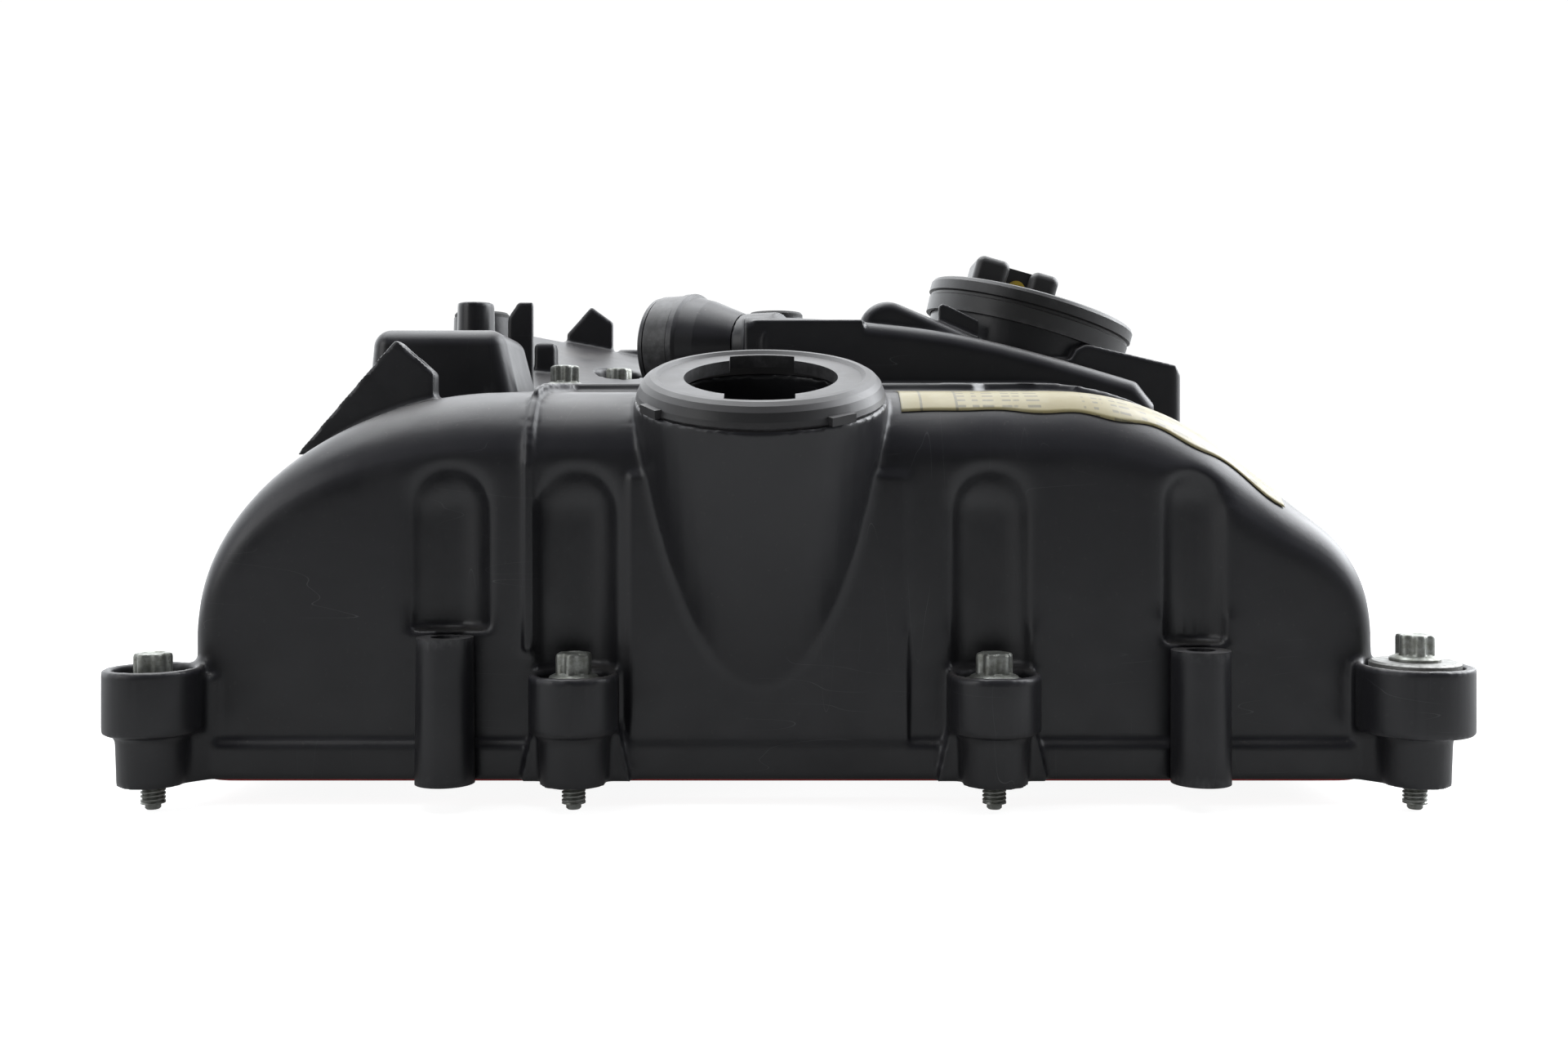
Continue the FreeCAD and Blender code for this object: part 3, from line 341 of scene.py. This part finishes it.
def make_materials():
    black = (0.0105, 0.0104, 0.0124)
    return {
        "moulding": plastic("moulding", black),
        "neck": plastic("neck", (0.022, 0.0215, 0.0225), 0.9, 0.42, 1.3),
        "lid": plastic("lid", (0.018, 0.0178, 0.0185), 0.8, 0.42, 0.8),
        "rubber": rubber("rubber", (0.018, 0.018, 0.018), 0.62),
        "silicone": rubber("silicone", (0.55, 0.035, 0.03), 0.42),
        "bolt": metal("bolt", (0.34, 0.35, 0.33), 0.40, (0.21, 0.215, 0.19)),
        "washer": metal("washer", (0.30, 0.30, 0.29), 0.5, (0.23, 0.23, 0.22)),
        "spring": metal("spring", (0.5, 0.5, 0.5), 0.3, (0.4, 0.4, 0.4)),
        "label": label_film(),
        "yellow": rubber("yellow", (0.78, 0.55, 0.06), 0.45),
    }


def paint(thing, material):
    thing.data.materials.clear()
    thing.data.materials.append(material)


# ---------------------------------------------------------------- mesh tools

def new_piece(name, mesh, body, material, slot, *nodes):
    thing = bpy.data.objects.new(name, mesh)
    bpy.context.scene.collection.objects.link(thing)
    paint(thing, material)
    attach(thing, body)
    if nodes:
        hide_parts(*nodes)
    return thing


def from_bmesh(name, bm, smooth_angle=35.0):
    mesh = bpy.data.meshes.new(name)
    bmesh.ops.recalc_face_normals(bm, faces=bm.faces)
    bm.to_mesh(mesh)
    bm.free()
    mesh.shade_smooth()
    mesh.set_sharp_from_angle(angle=math.radians(smooth_angle))
    return mesh


def baked(thing):
    """The thing's mesh with its modifiers applied, as new data."""
    graph = bpy.context.evaluated_depsgraph_get()
    return bpy.data.meshes.new_from_object(thing.evaluated_get(graph), depsgraph=graph)


def points_of(mesh):
    points = np.empty(len(mesh.vertices) * 3, np.float32)
    mesh.vertices.foreach_get("co", points)
    return points.reshape(-1, 3).astype(float) / MM


def step(value, start, end):
    """Smooth 0 to 1 while value goes from start to end."""
    share = np.clip((value - start) / (end - start), 0, 1)
    return share * share * (3 - 2 * share)


def weigh(thing, name, weights, levels=12):
    group = thing.vertex_groups.new(name=name)
    rounded = np.rint(weights * levels).astype(int)
    for level in range(1, levels + 1):
        members = np.nonzero(rounded == level)[0]
        if len(members):
            group.add(members.tolist(), level / levels, "REPLACE")


def moulded(node, voxel, budget, soften, base_rounds):
    """Copy of a CAD node as one continuous skin, softened where its weight functions say."""
    work = bpy.data.objects.new("work", NODES[node].data.copy())
    bpy.context.scene.collection.objects.link(work)
    work.data.materials.clear()
    remesh = work.modifiers.new("skin", "REMESH")
    remesh.mode = "VOXEL"
    remesh.voxel_size = voxel * MM
    mesh = baked(work)
    work.modifiers.clear()
    work.data = mesh
    points = points_of(mesh)
    weigh(work, "all", np.ones(len(points)))
    rounds = [("all", 0.5, base_rounds)]
    for number, (weight, count) in enumerate(soften):
        weigh(work, f"soft_{number}", weight(points))
        rounds.append((f"soft_{number}", 0.5, count))
    for group, factor, count in rounds:
        smooth = work.modifiers.new(group, "SMOOTH")
        smooth.factor = factor
        smooth.iterations = count
        smooth.vertex_group = group
    smoothed = baked(work)
    work.modifiers.clear()
    work.vertex_groups.clear()
    work.data = smoothed
    triangles = 2 * len(smoothed.polygons)
    if triangles > budget:
        thin = work.modifiers.new("thin", "DECIMATE")
        thin.ratio = budget / triangles
    result = baked(work)
    bpy.data.objects.remove(work)
    result.name = node + "_skin"
    result.shade_smooth()
    result.set_sharp_from_angle(angle=math.radians(50))
    return result


# ---------------------------------------------------------------- the moulding

def wall_softness(p):
    """Strong on the tall walls where the hollows are, none at bosses, tubes, flange and neck."""
    x, y, z = p.T
    wall = step(np.abs(y), 88.0, 96.0) * step(z, 36.0, 44.0) * (1 - step(z, 96.0, 104.0))
    for tube_x in TUBE_X:
        near = (1 - step(np.abs(x - tube_x), 9.0, 12.0)) * (1 - step(z, 40.0, 45.0)) * (y < 0)
        wall = wall * (1 - near)
    below_neck = (1 - step(np.abs(x - NECK_X), 34.0, 38.0)) * (y < 0) * step(z, 18.0, 22.0)
    wall = wall * (1 - below_neck)
    seam = (1 - step(np.abs(x - BEAD_X), 2.0, 3.6)) * (y < -70.0)
    return wall * (1 - seam)


def tongue_softness(p):
    x, y, z = p.T
    beside = 1 - step(np.abs(x - NECK_X), 34.0, 38.0)
    return beside * (y < -95.0) * step(z, 16.0, 20.0) * (1 - step(z, 84.0, 90.0))


def boss_softness(p):
    x, y, z = p.T
    low = (np.abs(y) > 104.0) * (1 - step(z, 31.0, 36.0)) * step(z, 1.5, 3.0)
    return low * 0.9


def cover_skin(material):
    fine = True
    voxel = 0.85 if fine else 1.5
    mesh = moulded("cover_shell", voxel, 196000 if fine else 150000,
                   [(wall_softness, 46 if fine else 16), (tongue_softness, 10 if fine else 4),
                    (boss_softness, 2)], 3 if fine else 1)
    return new_piece("cover_shell_skin", mesh, "cover", material, "black_plastic", "cover_shell")


def separator_skin(material):
    mesh = moulded("separator_shell", 0.55, 150000, [(lambda p: np.ones(len(p)), 5)], 3)
    return new_piece("separator_shell_skin", mesh, "cover", material, "black_plastic", "separator_shell")


# ---------------------------------------------------------------- bolts

def ring_of(bm, radius, z, segments):
    """Ring of vertices; radius may be a function of the angle."""
    ring = []
    for i in range(segments):
        angle = 2 * math.pi * i / segments
        r = radius(angle) if callable(radius) else radius
        ring.append(bm.verts.new((r * math.cos(angle) * MM, r * math.sin(angle) * MM, z * MM)))
    return ring


def bridge(bm, lower, upper):
    count = len(lower)
    for i in range(count):
        j = (i + 1) % count
        bm.faces.new((lower[i], lower[j], upper[j], upper[i]))


def thread_radius(z, start, end):
    """Radius of the screw thread at each angle, fading out at both ends."""
    def radius(angle):
        phase = (z / THREAD_PITCH - angle / (2 * math.pi)) % 1.0
        flank = min(1.0, max(0.0, 1.6 - 3.2 * abs(phase - 0.5)))
        fade = min(1.0, (z - start) / 1.2, (end - z) / 0.8)
        return THREAD_MAJOR - (THREAD_MAJOR - THREAD_MINOR) * (1 - flank) * max(0.0, fade)
    return radius


def six_lobes(outer, depth):
    return lambda angle: outer - depth * (0.5 - 0.5 * math.cos(6 * angle)) ** 1.3


def bolt_mesh(name, seat, tip, turn):
    """Flanged six-lobe screw with a rolled thread and a dog point, along +Z, as rings (radius, height)."""
    bm = bmesh.new()
    segments = 72
    shank_end = tip + POINT_LENGTH
    point = [(0.02, tip), (1.55, tip), (POINT_RADIUS, tip + 0.35), (POINT_RADIUS, shank_end - 0.7)]
    profile = [ring_of(bm, r, h, segments) for r, h in point]
    thread_start = shank_end - 0.6
    thread_top = shank_end + THREAD_LENGTH
    z = thread_start
    while z < thread_top:
        profile.append(ring_of(bm, thread_radius(z, thread_start, thread_top), z, segments))
        z += THREAD_PITCH / 8
    flange = [(THREAD_MAJOR, thread_top), (THREAD_MAJOR, seat - 0.01), (6.0, seat - 0.005),
              (6.18, seat + 0.12), (6.18, seat + 0.62), (6.02, seat + 0.86), (5.1, seat + 1.3)]
    profile += [ring_of(bm, r, h, segments) for r, h in flange]
    foot = seat + 1.5
    head = [(4.66, 0.25, foot), (4.68, 0.80, foot + 0.35), (4.68, 0.80, foot + 4.2), (4.60, 0.80, foot + 4.7),
            (4.35, 0.72, foot + 5.05), (3.9, 0.5, foot + 5.2)]
    profile += [ring_of(bm, six_lobes(r, d), h, segments) for r, d, h in head]
    dimple = [(2.9, foot + 5.2), (2.6, foot + 5.0), (1.2, foot + 4.75), (0.02, foot + 4.7)]
    profile += [ring_of(bm, r, h, segments) for r, h in dimple]
    for lower, upper in zip(profile, profile[1:]):
        bridge(bm, lower, upper)
    bm.faces.new(list(reversed(profile[0])))
    bm.faces.new(profile[-1])
    bmesh.ops.rotate(bm, verts=bm.verts, matrix=Matrix.Rotation(turn, 3, "Z"))
    return from_bmesh(name, bm, 32.0)


def make_bolts(material):
    """Screw in place of each CAD bolt; each is left turned a little differently."""
    turns = {"bolt_front_1": 0.2, "bolt_front_2": 0.5, "bolt_front_3": 0.1, "bolt_front_4": 0.45}
    for index, name in enumerate(sorted(n for n in NODES if n.startswith("bolt_") and n[-1].isdigit())):
        low, high = (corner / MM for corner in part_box(name))
        mesh = bolt_mesh(name + "_screw", high.z - HEAD_HEIGHT, low.z, turns.get(name, 0.37 * index))
        mesh.transform(Matrix.Translation(Vector(((low.x + high.x) / 2, (low.y + high.y) / 2, 0)) * MM))
        new_piece(name + "_screw", mesh, name, material, "bolt_steel", name)


# ---------------------------------------------------------------- label

def make_label(skin, material):
    """Strip that lies on the right front shoulder, with a wavy lower edge."""
    tree = BVHTree.FromPolygons([v.co for v in skin.data.vertices], [p.vertices for p in skin.data.polygons])
    columns, rows = 150, 22
    bm = bmesh.new()
    grid = []
    for i in range(columns + 1):
        share = i / columns
        x = LABEL_START + LABEL_LENGTH * share
        wave = 0.5 * math.sin(9.0 * share) + 0.9 * share * math.sin(31.0 * share)
        line = []
        for j in range(rows + 1):
            across = j / rows
            y = FRONT + (LABEL_LOW + wave) * (1 - across) + LABEL_HIGH * across
            hit, normal, _, _ = tree.ray_cast(Vector((x, y, ABOVE_ALL)) * MM, -UP)
            lift = 0.22 + 0.5 * max(0.0, share - 0.9) * (1 - across)
            line.append(bm.verts.new(hit + normal * lift * MM))
        grid.append(line)
    for a, b in zip(grid, grid[1:]):
        for j in range(rows):
            bm.faces.new((a[j], b[j], b[j + 1], a[j + 1]))
    mesh = from_bmesh("label_strip", bm)
    strip = new_piece("label_strip", mesh, "cover", material, "label_film", "label")
    thick = strip.modifiers.new("thickness", "SOLIDIFY")
    thick.thickness = 0.12 * MM
    thick.offset = 1.0
    return strip


# ---------------------------------------------------------------- pieces kept from the CAD

def bevel(node, width, angle=38.0, segments=3):
    soft = NODES[node].modifiers.new("soft_edges", "BEVEL")
    soft.width = width * MM
    soft.segments = segments
    soft.limit_method = "ANGLE"
    soft.angle_limit = math.radians(angle)
    soft.use_clamp_overlap = True
    soft.harden_normals = False


def dress_nodes(materials):
    finishes = {
        "filler_neck_ring": "neck", "breather_lid": "lid", "outlet_band": "lid", "lid_o_ring": "rubber",
        "diaphragm": "rubber", "drain_valve": "rubber", "injector_seal": "rubber", "bolt_grommets": "rubber",
        "cover_gasket": "silicone", "bolt_sleeves": "washer", "valve_spring": "spring", "lid_mark": "yellow",
    }
    for name, node in NODES.items():
        paint(node, materials[finishes.get(name.rstrip("_123"), "moulding")])
    softened = {"filler_neck_ring": 0.5, "breather_lid": 0.35, "outlet_pipe": 0.4, "outlet_band": 0.35,
                "bolt_sleeves": 0.15, "cover_gasket": 0.5, "chamber_cap": 0.4}
    for name, width in softened.items():
        bevel(name, width)
    for name in NODES:
        if name.startswith(("stud_tube", "injector_tube")):
            bevel(name, 0.35)


# ---------------------------------------------------------------- build

def main():
    make_studio()
    materials = make_materials()
    dress_nodes(materials)
    skin = cover_skin(materials["moulding"])
    separator_skin(materials["moulding"])
    make_bolts(materials["bolt"])
    make_label(skin, materials["label"])


main()
